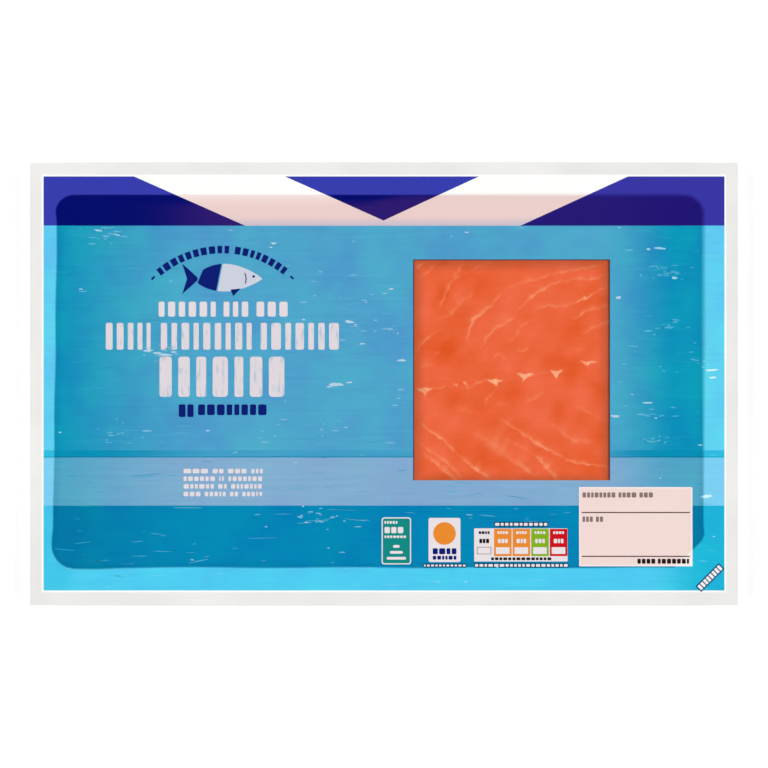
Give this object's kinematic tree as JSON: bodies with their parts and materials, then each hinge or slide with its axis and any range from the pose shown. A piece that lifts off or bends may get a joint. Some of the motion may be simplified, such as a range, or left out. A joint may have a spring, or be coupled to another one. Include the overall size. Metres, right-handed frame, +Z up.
{
  "type": "pack of smoked salmon",
  "caption": "Flat sealed pack of sliced smoked salmon: shallow white tray with a wide flange, printed lidding film and a clear window over the fish.",
  "frame": {"origin": "on the ground, under the middle of the pack's outline", "axes": "+X along the pack's length, to the right in the print; +Y to the print's top edge; +Z up out of the film, with the tray's floor on the ground"},
  "size_m": [0.264, 0.165, 0.0102],
  "materials": {
    "tray_web": "milky white formed polypropylene, soft satin",
    "salmon_flesh": "moist orange cured flesh with pale fat lines",
    "printed_film": "glossy laminate film, reverse printed in blues, navy and white, with one clear window"
  },
  "bodies": {
    "root": {"tray": "tray_web", "salmon": "salmon_flesh", "lidding_film": "printed_film"}
  },
  "joints": []
}
